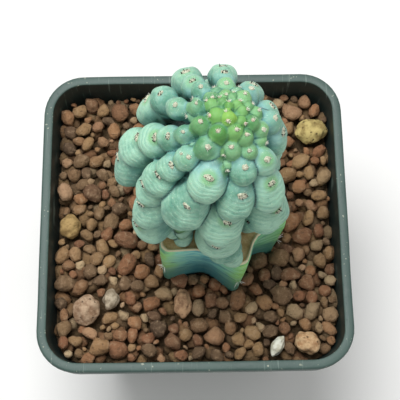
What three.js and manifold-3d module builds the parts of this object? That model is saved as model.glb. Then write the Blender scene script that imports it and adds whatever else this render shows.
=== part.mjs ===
// Potted blue candle cactus: a tubercled scion grafted on a six-ribbed stock, in a square pot of lava grit.
// Millimetres, +Z up. The origin is the centre of the pot's base, on the surface that it stands on.
import * as THREE from 'three';
import { mergeVertices } from 'three/addons/utils/BufferGeometryUtils.js';
import Module from 'manifold-3d';

const wasm = await Module();
wasm.setup();

const degree = Math.PI / 180;
// edges shorter than this are merged and facets narrower than this are turned after a join or a cut
const shortestEdge = 0.04;
const narrowestFacet = 0.004;
// clearance between neighbouring pieces
const clearance = 0.3;

// Square pot with a taper, a skirt below the lip and a raised floor
const potWidth = 90;
const potHeight = 80;
const baseWidth = 64;
const wall = 1.3;
const lipWidth = 2.8;
const skirtDepth = 8;
const skirtStep = 1.2;
const lipCorner = 12;
const baseCorner = 9;
const footWidth = 7;
const floorRise = 2;
const floorThickness = 1.6;
const drainHoleRadius = 3.5;
const drainHoleReach = 15;

// Grit bed
const gritLevel = 71.4;
const stonePitch = 6.8;
const stoneRise = 3.2;
const paleStoneLift = 1.6;

// Plant axis: where it meets the grit's mean level, and its lean to the back and to the right
const plantFoot = new THREE.Vector3(5.2, -3, 74.5);
const leanBack = 8 * degree;
const leanRight = 3 * degree;

// Six-ribbed stock
const stockRise = 20.4;
const stockDepth = 27;
// bearing and reach of each rib's edge, before it is blunted
const stockTips = [[-69, 21.8], [-15, 21.6], [45, 21.2], [105, 21.2], [164, 21.4], [224, 22.4]];
const stockBlunt = 1.5;
// distance of the valleys from the axis at the cut and at the foot
const stockValley = 15.2;
const stockValleyFoot = 12;
// places of the points between two rib edges: over the flank, round the valley and up the next flank
const stockShares = [0.055, 0.35, 0.5, 0.65, 0.945];
// growth of the hole that the stock stands in, measured from the axis
const holeGrowth = 0.4;
const stockFootScale = 0.94;
const rimWidth = 0.9;
const rimHeight = 0.8;
const spineHeight = 5.5;
const spineLength = 3;
const spineRadius = 0.22;
const spinesPerAreole = 5;

// Scion
const scionHeight = 49.5;
const domeDepth = 24;
const scionRadius = 15;
const coreShare = 0.86;
// how far an areole sits from the middle of its tubercle towards the crown, in half widths
const areoleRise = 0.5;
const lowestAreole = 10.5;
// ribs of tubercles from the crown down: bearing, distance from the axis, height over the cut and half width
const scionRibs = [
  [[162, 7.5, 46.5, 2.2], [160, 12.2, 43, 2.8], [147, 17.5, 38, 3.3], [146, 20.7, 30.5, 3.9],
    [144, 18.8, 22, 4], [146, 15.4, 13.5, 3.9], [148, 12.4, 5, 3.5]],
  [[202, 6.8, 47, 2.5], [198, 10.6, 44, 2.4], [190, 13.3, 40.5, 3.1], [182, 16.4, 36, 4],
    [178, 20.4, 30.5, 4.6], [181, 22.8, 24, 4.5], [181, 17.4, 16, 3.9], [184, 14.6, 8.5, 3.7],
    [185, 12.2, 3.5, 3.3]],
  [[235, 8.7, 45, 2.9], [221, 12.6, 41.5, 3], [214, 15.6, 38, 3.3], [211, 17.8, 33.5, 4.1],
    [208, 19.2, 28, 3.9], [212, 20.6, 21, 4.2], [212, 20.9, 12, 4.8], [215, 16.2, 6, 3.3]],
  [[244, 5.4, 47.5, 2.4], [250, 13.7, 39, 4.3], [239, 17.2, 31, 4.9], [233, 15.2, 21, 2.9],
    [231, 14.6, 10, 2.3], [231, 14.3, 3.5, 2.3]],
  [[286, 4.5, 47.5, 2.2], [275, 7.3, 44.5, 2.5], [288, 11, 40.5, 3.3], [280, 14, 33.5, 4.3],
    [269, 15.6, 24.5, 5.1], [267, 15.9, 14.5, 5.2], [274, 16.6, 8, 4], [281, 17, 3, 2.7]],
  [[304, 6.3, 46.5, 2.2], [301, 8.7, 44, 2.2], [316, 11.2, 40, 3.4], [311, 14.2, 33, 4.4],
    [313, 15.6, 22.5, 5.2], [316, 12.5, 13, 4.2], [320, 10.8, 5.5, 3.2]],
  [[339, 5.3, 47, 2.2], [341, 7.6, 45, 2.2], [6, 9.8, 42.5, 3], [0, 11.2, 37, 3.6], [358, 10.4, 29, 3.8],
    [355, 9.8, 20, 3.9], [354, 9.8, 11.5, 3.8], [354, 10, 4, 3.4]],
  [[12, 6.2, 46, 1.9], [30, 11, 39, 3.2], [30, 13, 31, 3.9], [29, 13.2, 22, 4], [28, 12.2, 13, 3.9],
    [28, 11.2, 4.5, 3.5]],
  [[54, 5.8, 46.5, 2.3], [57, 9.2, 43, 2.9], [62, 13.2, 37.5, 3.3], [63, 15, 29, 3.8], [63, 15, 20, 4.1],
    [63, 13.4, 11.5, 3.9], [64, 11.8, 4, 3.5]],
  [[94, 5.3, 46, 2.1], [91, 9.8, 43.5, 2.5], [91, 14.2, 40, 3], [90, 18.9, 34, 3.4], [91, 20.2, 26, 4.1],
    [92, 18, 17, 4.2], [93, 15, 9.5, 3.9], [94, 12.2, 3.5, 3.5]],
  [[130, 5.7, 46.5, 2], [126, 10.2, 44, 2.6], [122, 14, 40, 3.1], [117, 19.2, 34, 3.9],
    [117, 20.4, 25.5, 4.3], [119, 18, 16.5, 4.3], [121, 15, 9, 3.9], [122, 12.2, 3.5, 3.5]],
];
// young tubercles round the growing point and buds between the ribs, in the same four values
const crownBuds = [
  [198, 3, 48.3, 2.3], [262, 1.9, 49, 2], [148, 4.4, 47.4, 1.8], [118, 3.3, 47.9, 1.5],
  [48, 2.6, 48.4, 1.5], [8, 3, 48.3, 1.5], [78, 4.7, 47.2, 1.5], [320, 3.4, 48, 1.6], [92, 1.3, 49.2, 1.2],
  [228, 0.7, 49.6, 1], [269, 9.6, 41.8, 1.7], [293, 13.8, 22, 1.3], [330, 8.4, 43.6, 1.8],
  [72, 7.4, 45, 1.7], [110, 7.4, 45.4, 1.6], [28, 5, 47, 1.5], [174, 7.9, 44.6, 1.6],
  [218, 9.9, 42.6, 1.6], [262, 7.6, 44.6, 1.5], [142, 8.6, 43.8, 1.6],
];
// heights of the rings of the flesh that the ribs stand on
const coreHeights = [-2, 4, 12, 20, 28, 35, 41, 45, 48];
// section of a rib, as side and height in half widths, with its root sunk in the flesh
const ribSection = [[-0.5, -1], [-0.98, 0.1], [-0.55, 0.9], [0.55, 0.9], [0.98, 0.1], [0.5, -1]];
// rings of one tubercle: share of the way to the next one, swelling, and lift in half widths
const tubercleRings = [[-0.33, 0.72, -0.12], [0.08, 0.98, 0.02], [0.56, 0.94, 0.1]];

// Pale stones that lie loose on the bed: place, half sizes and turn
const paleStones = [
  { name: 'yellow_pumice', x: 36.3, y: 28.5, long: 5.0, wide: 4.0, high: 3.2, turn: 20 },
  { name: 'pitted_stone', x: -31.7, y: -25.8, long: 4.6, wide: 3.8, high: 3.2, turn: 70 },
  { name: 'grey_stone', x: -24.6, y: -23.0, long: 3.2, wide: 2.4, high: 2.4, turn: 80 },
  { name: 'long_stone', x: -3.8, y: -24.6, long: 4.4, wide: 2.6, high: 2.6, turn: 85 },
  { name: 'white_chip', x: 23.5, y: -37.2, long: 3.4, wide: 1.8, high: 2.2, turn: 60 },
  { name: 'pink_stone', x: 32.5, y: -36.6, long: 4.2, wide: 3.2, high: 2.8, turn: 150 },
  { name: 'cream_stone', x: -37.0, y: -0.9, long: 3.8, wide: 3.2, high: 2.8, turn: 100 },
];

// Repeatable random draws between 0 and 1
function makeDraw(seed) {
  let state = seed;
  return () => {
    state = (state * 16807) % 2147483647;
    return state / 2147483647;
  };
}

// A closed mesh through rings of points, with a flat fan at each end
function loft(rings) {
  const count = rings[0].length;
  const points = rings.flat();
  const triangles = [];
  for (let i = 0; i + 1 < rings.length; i++) {
    for (let j = 0; j < count; j++) {
      const next = (j + 1) % count;
      const [a, b] = [i * count + j, i * count + next];
      triangles.push(a, b, b + count, a, b + count, a + count);
    }
  }
  const middle = (ring) => ring.reduce((sum, p) => sum.add(p), new THREE.Vector3()).divideScalar(count);
  const bottom = points.length;
  points.push(middle(rings[0]), middle(rings[rings.length - 1]));
  const lastRing = (rings.length - 1) * count;
  for (let j = 0; j < count; j++) {
    const next = (j + 1) % count;
    triangles.push(bottom, next, j);
    triangles.push(bottom + 1, lastRing + j, lastRing + next);
  }
  const geometry = new THREE.BufferGeometry().setFromPoints(points);
  geometry.setIndex(triangles);
  return geometry;
}

function toSolid(geometry) {
  const bare = geometry.clone();
  bare.deleteAttribute('normal');
  bare.deleteAttribute('uv');
  const merged = mergeVertices(bare, 1e-4);
  const vertProperties = new Float32Array(merged.attributes.position.array);
  const triVerts = new Uint32Array(merged.index.array);
  return new wasm.Manifold(new wasm.Mesh({ numProp: 3, vertProperties, triVerts }));
}

function fuse(geometries) {
  return geometries.map(toSolid).reduce((sum, solid) => sum.add(solid));
}

// The largest body of a solid, without loose scraps or sealed hollows
function mainBody(solid) {
  return solid.decompose().reduce((best, body) => (body.volume() > best.volume() ? body : best));
}

// The triangles on each edge of a mesh, listed under the edge's two corners
function edgeTable(triangles) {
  const table = new Map();
  triangles.forEach((triangle, index) => {
    for (let k = 0; k < 3; k++) {
      const [a, b] = [triangle[k], triangle[(k + 1) % 3]];
      const key = a < b ? `${a} ${b}` : `${b} ${a}`;
      table.set(key, [...(table.get(key) ?? []), index]);
    }
  });
  return table;
}

function mergeShortEdges(points, triangles) {
  const neighbours = new Map();
  const meet = (a, b) => neighbours.set(a, (neighbours.get(a) ?? new Set()).add(b));
  for (const [a, b, c] of triangles) {
    [[a, b], [b, c], [c, a]].forEach(([p, q]) => meet(p, q) && meet(q, p));
  }
  const target = points.map((point, index) => index);
  const touched = new Set();
  for (const key of edgeTable(triangles).keys()) {
    const [a, b] = key.split(' ').map(Number);
    const around = [...neighbours.get(a), ...neighbours.get(b)];
    const shared = [...neighbours.get(a)].filter((other) => neighbours.get(b).has(other));
    const isShort = points[a].distanceTo(points[b]) < shortestEdge;
    if (isShort && shared.length === 2 && !around.some((other) => touched.has(other))) {
      target[b] = a;
      around.forEach((other) => touched.add(other));
    }
  }
  const moved = triangles.map((triangle) => triangle.map((corner) => target[corner]));
  return moved.filter(([a, b, c]) => a !== b && b !== c && c !== a);
}

// Turns the longest edge of each sliver, so that its two triangles share their other diagonal
function turnSlivers(points, triangles) {
  const table = edgeTable(triangles);
  const used = new Set();
  const keyOf = (a, b) => (a < b ? `${a} ${b}` : `${b} ${a}`);
  const result = triangles.map((triangle) => [...triangle]);
  triangles.forEach((triangle, index) => {
    const sides = [0, 1, 2].map((k) => points[triangle[k]].distanceTo(points[triangle[(k + 1) % 3]]));
    const longest = sides.indexOf(Math.max(...sides));
    const [a, b, c] = [0, 1, 2].map((k) => triangle[(longest + k) % 3]);
    const facet = new THREE.Triangle(points[a], points[b], points[c]);
    const [first, second] = table.get(keyOf(a, b));
    const other = first === index ? second : first;
    const d = triangles[other].find((corner) => corner !== a && corner !== b);
    const isSliver = 2 * facet.getArea() / sides[longest] < narrowestFacet;
    if (isSliver && !table.has(keyOf(c, d)) && !used.has(index) && !used.has(other)) {
      table.set(keyOf(c, d), [index, other]);
      result[index] = [a, d, c];
      result[other] = [d, b, c];
      [index, other].forEach((each) => used.add(each));
    }
  });
  return result;
}

function toGeometry(solid) {
  const { vertProperties, triVerts } = mainBody(solid).getMesh();
  const points = [];
  for (let i = 0; i < vertProperties.length; i += 3) {
    points.push(new THREE.Vector3(...vertProperties.slice(i, i + 3)));
  }
  let triangles = [];
  for (let i = 0; i < triVerts.length; i += 3) {
    triangles.push([...triVerts.slice(i, i + 3)]);
  }
  for (let round = 0; round < 8; round++) {
    triangles = turnSlivers(points, mergeShortEdges(points, triangles));
  }
  const geometry = new THREE.BufferGeometry().setFromPoints(points);
  geometry.setIndex(triangles.flat());
  return geometry;
}

function named(name, geometry, color, roughness, metalness = 0) {
  const material = new THREE.MeshStandardMaterial({ color, roughness, metalness, flatShading: true });
  const mesh = new THREE.Mesh(geometry, material);
  mesh.name = name;
  return mesh;
}

// A shape of unit radius stretched along three directions
function stretch(geometry, center, across, along, out) {
  const frame = new THREE.Matrix4().makeBasis(across, along, out);
  return geometry.applyMatrix4(frame.setPosition(center));
}

// Pot
const cornerSteps = 6;

function squareRing(half, corner, z) {
  const ring = [];
  for (let quarter = 0; quarter < 4; quarter++) {
    for (let step = 0; step <= cornerSteps; step++) {
      const angle = (quarter + step / cornerSteps) * 90 * degree;
      const side = [[1, 1], [-1, 1], [-1, -1], [1, -1]][quarter];
      const x = side[0] * (half - corner) + corner * Math.cos(angle);
      const y = side[1] * (half - corner) + corner * Math.sin(angle);
      ring.push(new THREE.Vector3(x, y, z));
    }
  }
  return ring;
}

const skirtBottom = potHeight - skirtDepth;
const bodyTopHalf = potWidth / 2 - 0.6 - skirtStep;

// Half width and corner radius of the pot's body, outside, at a height
function bodyHalf(z) {
  return THREE.MathUtils.lerp(baseWidth / 2, bodyTopHalf, z / skirtBottom);
}

function bodyCorner(z) {
  return THREE.MathUtils.lerp(baseCorner, lipCorner - skirtStep, z / skirtBottom);
}

function bodyRing(z, inset) {
  return squareRing(bodyHalf(z) - inset, bodyCorner(z) - inset, z);
}

const floorTop = floorRise + floorThickness;

function makePot() {
  const lip = potWidth / 2;
  const footInner = baseWidth / 2 - footWidth;
  const footCorner = baseCorner - footWidth + 2;
  const innerLip = lip - lipWidth;
  const shell = loft([
    squareRing(footInner - 1.5, footCorner, floorRise),
    squareRing(footInner, footCorner, 0),
    squareRing(baseWidth / 2 - 0.8, baseCorner - 0.8, 0),
    bodyRing(1, 0),
    bodyRing(skirtBottom, 0),
    squareRing(lip - 0.6, lipCorner - 0.6, skirtBottom),
    squareRing(lip, lipCorner, potHeight - 0.8),
    squareRing(lip - 0.7, lipCorner - 0.7, potHeight),
    squareRing(innerLip + 0.5, lipCorner - lipWidth + 0.5, potHeight),
    squareRing(innerLip, lipCorner - lipWidth, potHeight - 0.6),
    bodyRing(skirtBottom, wall),
    bodyRing(floorTop + 1.5, wall),
    bodyRing(floorTop, wall + 1.5),
  ]);
  let pot = toSolid(shell);
  const spots = [[0, 0]];
  for (let i = 0; i < 4; i++) {
    const angle = (45 + 90 * i) * degree;
    spots.push([drainHoleReach * Math.cos(angle), drainHoleReach * Math.sin(angle)]);
  }
  for (const [x, y] of spots) {
    const drill = new THREE.CylinderGeometry(drainHoleRadius, drainHoleRadius, 12, 16).rotateX(90 * degree);
    pot = pot.subtract(toSolid(drill.translate(x, y, floorTop)));
  }
  return toGeometry(pot);
}

// Plant frame: right, back and up along the leaning axis, from the cut face of the graft
const plantUp = new THREE.Vector3(Math.sin(leanRight), Math.sin(leanBack), 0);
plantUp.z = Math.sqrt(1 - plantUp.lengthSq());
const plantRight = new THREE.Vector3(1, 0, 0);
plantRight.addScaledVector(plantUp, -plantUp.x).normalize();
const plantBack = new THREE.Vector3().crossVectors(plantUp, plantRight);
const graftCenter = plantFoot.clone().addScaledVector(plantUp, stockRise);

function fromGraft(radius, angle, height) {
  const point = graftCenter.clone().addScaledVector(plantUp, height);
  point.addScaledVector(plantRight, radius * Math.cos(angle));
  return point.addScaledVector(plantBack, radius * Math.sin(angle));
}

// Stock
// Straight flanks between blunt rib edges and shallow valleys, which are deeper near the foot
function stockRadius(angle, height) {
  let turn;
  let gap;
  const edge = stockTips.findIndex(([bearing], i) => {
    turn = THREE.MathUtils.euclideanModulo(angle / degree - bearing, 360);
    gap = THREE.MathUtils.euclideanModulo(stockTips[(i + 1) % stockTips.length][0] - bearing, 360);
    return turn < gap;
  });
  const [, reach] = stockTips[turn < gap / 2 ? edge : (edge + 1) % stockTips.length];
  const off = Math.min(turn, gap - turn) * degree;
  const drop = THREE.MathUtils.clamp(-height / stockRise, 0, 1);
  const valley = THREE.MathUtils.lerp(stockValley, stockValleyFoot, drop);
  const valleyX = valley * Math.cos(gap / 2 * degree);
  const valleyY = valley * Math.sin(gap / 2 * degree);
  const flank = reach * valleyY / (valleyY * Math.cos(off) + (reach - valleyX) * Math.sin(off));
  return Math.min(flank, (reach - stockBlunt) / Math.cos(off)) + (off > 0.45 * gap * degree ? 0.5 : 0);
}

function starRing(height, scale, inset) {
  const ring = [];
  stockTips.forEach(([bearing], i) => {
    const gap = THREE.MathUtils.euclideanModulo(stockTips[(i + 1) % stockTips.length][0] - bearing, 360);
    for (const share of stockShares) {
      const angle = (bearing + gap * share) * degree;
      ring.push(fromGraft(stockRadius(angle, height) * scale - inset, angle, height));
    }
  });
  return ring;
}

// Rings of the stock from its blunt foot upwards; a growth makes those of the hole that it stands in
function stockRings(growth) {
  return [
    starRing(-stockRise - stockDepth - growth, 0.12, -growth),
    starRing(-stockRise - stockDepth * 0.85, 0.5, -growth),
    starRing(-stockRise - 4, stockFootScale * 0.98, -growth),
    starRing(-stockRise + 2, stockFootScale, -growth),
    starRing(-stockRise * 0.45, 0.98, -growth),
  ];
}

function spineCluster(angle, height, draw) {
  const spines = [];
  const root = fromGraft(stockRadius(angle, height) * stockFootScale - 0.6, angle, height);
  spines.push(new THREE.OctahedronGeometry(1.1).translate(root.x, root.y, root.z));
  const outward = fromGraft(1, angle, 0).sub(graftCenter);
  const sideways = new THREE.Vector3().crossVectors(plantUp, outward);
  for (let i = 0; i < spinesPerAreole; i++) {
    const spread = (i - 2) * 38 * degree + 0.3 * draw();
    const direction = outward.clone().multiplyScalar(0.8);
    direction.addScaledVector(sideways, Math.sin(spread));
    direction.addScaledVector(plantUp, 0.9 * Math.cos(spread) - 0.3);
    direction.normalize();
    const length = spineLength * (0.85 + 0.3 * draw());
    const spine = new THREE.ConeGeometry(spineRadius, length, 3).translate(0, length / 2, 0);
    spine.applyQuaternion(new THREE.Quaternion().setFromUnitVectors(new THREE.Vector3(0, 1, 0), direction));
    spine.translate(root.x, root.y, root.z);
    spines.push(spine);
  }
  return spines;
}

function makeStock() {
  const body = loft([
    ...stockRings(0),
    starRing(-0.3, 1, 0),
    starRing(0, 1, 0.3),
    starRing(0, 1, rimWidth),
    starRing(-rimHeight, 1, rimWidth + 0.2),
  ]);
  const draw = makeDraw(41);
  const pieces = [body];
  for (const [bearing] of stockTips) {
    pieces.push(...spineCluster(bearing * degree, -stockRise + spineHeight + draw(), draw));
  }
  return toGeometry(fuse(pieces));
}

// Scion
// Direction out of the flesh, up at the crown and sideways below the shoulder
function fleshNormal(point) {
  const away = point.clone().sub(graftCenter);
  const height = away.dot(plantUp);
  const rise = Math.max(height - scionHeight + domeDepth, 0) / domeDepth ** 2;
  const outward = away.addScaledVector(plantUp, -height).divideScalar(scionRadius ** 2);
  return outward.addScaledVector(plantUp, rise).normalize();
}

// A place on a string of centres, counted in centres and fractions of the way to the next
function onChain(centers, count) {
  const i = THREE.MathUtils.clamp(Math.floor(count), 0, centers.length - 2);
  return centers[i].clone().lerp(centers[i + 1], count - i);
}

// Place and frame of a point on a rib: down along it, out from the flesh and across
function onRib(centers, count) {
  const center = onChain(centers, count);
  const down = onChain(centers, count + 0.5).sub(onChain(centers, count - 0.5)).normalize();
  const across = new THREE.Vector3().crossVectors(down, fleshNormal(center)).normalize();
  return { center, down, across, out: new THREE.Vector3().crossVectors(across, down) };
}

// 0 for a young tubercle near the crown and 1 for a mature one
function maturity(height) {
  return THREE.MathUtils.clamp((scionHeight - 4.5 - height) / 14, 0, 1);
}

function ribCenters(rib) {
  return rib.map(([bearing, distance, height]) => fromGraft(distance, bearing * degree, height));
}

// A rib is a string of tubercles, each narrow where the one above covers it and proud at its lower lip
function ribShape(rib) {
  const centers = ribCenters(rib);
  const rings = [];
  rib.forEach(([, , height, width], i) => {
    const from = Math.min(i, rib.length - 2);
    const step = centers[from].distanceTo(centers[from + 1]);
    const reach = Math.min(1, 2.4 * width / step);
    const flare = THREE.MathUtils.lerp(1.02, 1.14, maturity(height));
    for (const [share, swell, lift] of tubercleRings) {
      const spot = onRib(centers, i + share * reach);
      const ring = ribSection.map(([side, rise]) => {
        const point = spot.center.clone().addScaledVector(spot.across, -side * width * swell * flare);
        return point.addScaledVector(spot.out, (rise * swell + lift) * width);
      });
      rings.push(ring);
    }
  });
  return loft(rings.reverse());
}

// An areole is a small pad of wool on a tubercle's side towards the crown
function areoleShape(centers, i, width) {
  const spot = onRib(centers, i);
  const seat = spot.center.addScaledVector(spot.out, 0.88 * width);
  seat.addScaledVector(spot.down, -areoleRise * width);
  const size = Math.min(0.38 * width, 1.1);
  const [across, down, out] = [spot.across, spot.down, spot.out].map((v) => v.multiplyScalar(size));
  return stretch(new THREE.OctahedronGeometry(1), seat, across, down, out.multiplyScalar(0.5));
}

function crownBud([bearing, distance, height, width]) {
  const center = fromGraft(distance, bearing * degree, height);
  const out = fleshNormal(center);
  const across = new THREE.Vector3().crossVectors(plantUp, out).normalize();
  const along = new THREE.Vector3().crossVectors(out, across);
  const sides = [across, along, out].map((v) => v.multiplyScalar(width));
  return stretch(new THREE.SphereGeometry(1, 7, 4), center, ...sides);
}

// How far a rib's tubercles stand from the axis at a height
function ribReach(rib, height) {
  const next = rib.findIndex(([, , placeHeight]) => placeHeight < height);
  const [, lower, lowerHeight] = rib.at(next);
  const [, upper, upperHeight] = rib[Math.max(next - 1, 0)];
  const share = next > 0 ? (upperHeight - height) / (upperHeight - lowerHeight) : 1;
  return THREE.MathUtils.lerp(upper, lower, share);
}

// Radius of the flesh that the ribs stand on, from the ribs near a bearing
function coreRadius(angle, height) {
  const rise = THREE.MathUtils.clamp((height - scionHeight + domeDepth) / domeDepth, 0, 1);
  const dome = 1.6 * scionRadius * Math.sqrt(1 - rise ** 2);
  let sum = 0;
  let weight = 0;
  for (const rib of scionRibs) {
    const share = Math.exp(18 * (Math.cos(angle - rib.at(-2)[0] * degree) - 1));
    sum += share * Math.min(ribReach(rib, height), dome);
    weight += share;
  }
  return coreShare * sum / weight;
}

function makeCore() {
  const rings = coreHeights.map((height) => {
    const ring = [];
    for (let i = 0; i < 24; i++) {
      const angle = i * 15 * degree;
      ring.push(fromGraft(coreRadius(angle, height), angle, height));
    }
    return ring;
  });
  return loft(rings);
}

// A round foot stands inside the stock's rim, and everything else stays above the rim
function makeScion() {
  const pieces = [makeCore(), ...crownBuds.map(crownBud)];
  for (const rib of scionRibs) {
    const centers = ribCenters(rib);
    pieces.push(ribShape(rib));
    rib.forEach(([, , height, width], i) => {
      if (height > lowestAreole) {
        pieces.push(areoleShape(centers, i, width));
      }
    });
  }
  const disc = (radius, low, high) => {
    const rings = [low, high].map((height) => {
      const ring = [];
      for (let i = 0; i < 24; i++) {
        ring.push(fromGraft(radius, i * 15 * degree, height));
      }
      return ring;
    });
    return toSolid(loft(rings));
  };
  const aboveRim = disc(60, clearance, 90);
  const foot = disc(stockValley - 2.6, clearance - rimHeight, 3);
  return toGeometry(fuse(pieces).intersect(aboveRim).add(foot));
}

// Grit
function paleStone({ x, y, long, wide, high, turn }) {
  const geometry = new THREE.IcosahedronGeometry(1, 1).scale(long, wide, high);
  return geometry.rotateZ(turn * degree).translate(x, y, gritLevel + paleStoneLift);
}

// The dip that a pale stone lies in, a plain round one with a flat bottom
function paleStoneDip({ x, y, long, wide, high, turn }) {
  const depth = high + clearance;
  const geometry = new THREE.CylinderGeometry(1.14, 1, 2 * depth, 10).rotateX(90 * degree);
  geometry.scale(long + clearance, wide + clearance, 1).rotateZ(turn * degree);
  return geometry.translate(x, y, gritLevel + paleStoneLift);
}

// A relief of stones, six-sided in plan, each with a raised face and a valley round it, closed by a flat base
function stoneRelief(half, baseHeight) {
  const draw = makeDraw(7);
  const points = [];
  const triangles = [];
  const corners = new Map();
  const add = (x, y, z) => points.push(new THREE.Vector3(x, y, z)) - 1;
  const cornerAt = (x, y) => {
    const key = `${Math.round(4 * x)} ${Math.round(4 * y)}`;
    if (!corners.has(key)) {
      const [shiftX, shiftY, drop] = [draw() - 0.5, draw() - 0.5, draw()];
      corners.set(key, add(x + 2.4 * shiftX, y + 2.4 * shiftY, gritLevel - 1.2 - 0.8 * drop));
    }
    return corners.get(key);
  };
  const rowStep = stonePitch * Math.sqrt(3) / 2;
  const reach = Math.ceil(half / rowStep) + 1;
  for (let row = -reach; row <= reach; row++) {
    for (let column = -reach; column <= reach; column++) {
      const x = (column + (row % 2 === 0 ? 0 : 0.5)) * stonePitch;
      const y = row * rowStep;
      const top = gritLevel + stoneRise * (0.35 + 0.65 * draw());
      const [leanX, leanY] = [0.25 * (draw() - 0.5), 0.25 * (draw() - 0.5)];
      const middle = add(x + draw() - 0.5, y + draw() - 0.5, top + 0.4);
      const valley = [];
      const ring = [];
      for (let k = 0; k < 6; k++) {
        const angle = (30 + 60 * k) * degree;
        const radius = stonePitch / Math.sqrt(3);
        valley.push(cornerAt(x + radius * Math.cos(angle), y + radius * Math.sin(angle)));
        const edge = points[valley[k]].clone().lerp(points[middle], 0.24 + 0.1 * draw());
        const height = top + leanX * (edge.x - x) + leanY * (edge.y - y) - 0.5 * draw();
        ring.push(add(edge.x, edge.y, height));
      }
      for (let k = 0; k < 6; k++) {
        const next = (k + 1) % 6;
        triangles.push([middle, ring[k], ring[next]]);
        triangles.push([ring[k], valley[k], valley[next]], [ring[k], valley[next], ring[next]]);
      }
    }
  }
  return closeBelow(points, triangles, baseHeight);
}

// Closes a sheet of triangles with walls at its edge and a copy of itself, flat, at a lower height
function closeBelow(points, triangles, baseHeight) {
  const count = points.length;
  const edges = new Set(triangles.flatMap(([a, b, c]) => [`${a} ${b}`, `${b} ${c}`, `${c} ${a}`]));
  const closed = [...triangles, ...triangles.map(([a, b, c]) => [c + count, b + count, a + count])];
  for (const edge of edges) {
    const [a, b] = edge.split(' ').map(Number);
    if (!edges.has(`${b} ${a}`)) {
      closed.push([a, a + count, b + count], [a, b + count, b]);
    }
  }
  const base = points.map((point) => new THREE.Vector3(point.x, point.y, baseHeight));
  const geometry = new THREE.BufferGeometry().setFromPoints([...points, ...base]);
  geometry.setIndex(closed.flat());
  return geometry;
}

function makeGrit() {
  const inset = wall + clearance;
  const bed = loft([
    bodyRing(floorTop + clearance, wall + 1.9),
    bodyRing(floorTop + 2, inset),
    bodyRing(skirtBottom, inset),
    squareRing(bodyTopHalf - inset, lipCorner - skirtStep - inset, potHeight),
  ]);
  let grit = toSolid(bed).intersect(toSolid(stoneRelief(bodyTopHalf, -1)));
  grit = grit.subtract(toSolid(loft([...stockRings(holeGrowth), starRing(0, 1, -holeGrowth)])));
  for (const stone of paleStones) {
    grit = grit.subtract(toSolid(paleStoneDip(stone)));
  }
  return toGeometry(grit);
}

const plant = new THREE.Group();
plant.add(named('pot', makePot(), 0x3f4f4c, 0.45));
plant.add(named('grit_bed', makeGrit(), 0x7a5646, 0.95));
plant.add(named('rootstock', makeStock(), 0x5f9a86, 0.5));
plant.add(named('scion', makeScion(), 0x93c4ac, 0.5));
for (const stone of paleStones) {
  plant.add(named(stone.name, paleStone(stone), 0xb9ac9a, 0.9));
}

export default plant;
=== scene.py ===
# Looks of a potted blue candle cactus: flesh, wool and spines, cut stock, lava grit and plastic pot.
# Shapes are worked out in millimetres and become metres when a piece is finished.
import math
import bmesh
import bpy
import numpy as np
from mathutils import Matrix, Vector, noise


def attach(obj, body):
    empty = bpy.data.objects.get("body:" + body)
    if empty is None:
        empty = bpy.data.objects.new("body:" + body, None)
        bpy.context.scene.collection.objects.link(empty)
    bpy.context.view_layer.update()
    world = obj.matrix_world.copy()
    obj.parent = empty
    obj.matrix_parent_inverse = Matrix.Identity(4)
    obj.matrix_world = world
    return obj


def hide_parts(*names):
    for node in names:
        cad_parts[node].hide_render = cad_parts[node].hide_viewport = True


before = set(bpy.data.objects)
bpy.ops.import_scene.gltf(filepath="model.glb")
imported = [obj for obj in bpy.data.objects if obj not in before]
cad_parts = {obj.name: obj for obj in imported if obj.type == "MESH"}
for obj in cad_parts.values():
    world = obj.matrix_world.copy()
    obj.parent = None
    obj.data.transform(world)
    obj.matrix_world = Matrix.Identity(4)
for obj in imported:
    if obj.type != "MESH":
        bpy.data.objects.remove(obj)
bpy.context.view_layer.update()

CLEARANCE = 0.3

# Square pot with a taper, a skirt below the lip and a raised floor
POT_WIDTH = 90
POT_HEIGHT = 80
BASE_WIDTH = 64
WALL = 1.3
LIP_WIDTH = 2.8
SKIRT_BOTTOM = 72
SKIRT_STEP = 1.2
LIP_SLOPE = 0.6
LIP_CORNER = 12
BASE_CORNER = 9
FOOT_WIDTH = 7
FLOOR_RISE = 2
FLOOR_TOP = 3.6
DRAIN_HOLE_RADIUS = 3.5
DRAIN_HOLE_REACH = 15
CORNER_STEPS = 10
SIDE_STEPS = 8
# signs of the four corners, in turn
CORNERS = ((1, 1), (-1, 1), (-1, -1), (1, -1))

# Grit
GRIT_LEVEL = 71.4
FINES_LEVEL = 68
GRIT_SEED = 5
STONE_FLATS = 9
# layers of stones: tries, least and most radius, height over the bed's level, closeness and depth (how much
# painted shade a layer gets)
STONE_LAYERS = [
    (3600, 2.0, 3.6, 0.6, 0.8, 0.0),
    (3000, 1.3, 2.1, 0.3, 0.78, 0.05),
    (3000, 2.2, 3.2, -2.4, 0.72, 0.6),
    (2600, 0.8, 1.4, -0.2, 0.85, 0.2),
]

# Plant axis: where it meets the grit's mean level, and its lean to the back and to the right
PLANT_FOOT = Vector((5.2, -3, 74.5))
LEAN_BACK = math.radians(8)
LEAN_RIGHT = math.radians(3)

# Six-ribbed stock
STOCK_RISE = 20.4
STOCK_DEPTH = 27
# bearing and reach of each rib's edge, before it is blunted
STOCK_TIPS = [(-69, 21.8), (-15, 21.6), (45, 21.2), (105, 21.2), (164, 21.4), (224, 22.4)]
STOCK_BLUNT = 1.5
# distance of the valleys from the axis at the cut and at the foot
STOCK_VALLEY = 15.2
STOCK_VALLEY_FOOT = 12
STOCK_STEPS = 26
STOCK_FOOT_SCALE = 0.94
RIM_WIDTH = 0.9
SPINE_HEIGHT = 5.5
SPINES_PER_AREOLE = 5
STOCK_SPINE_SEED = 41
SPINE_TIP = 0.12

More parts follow.
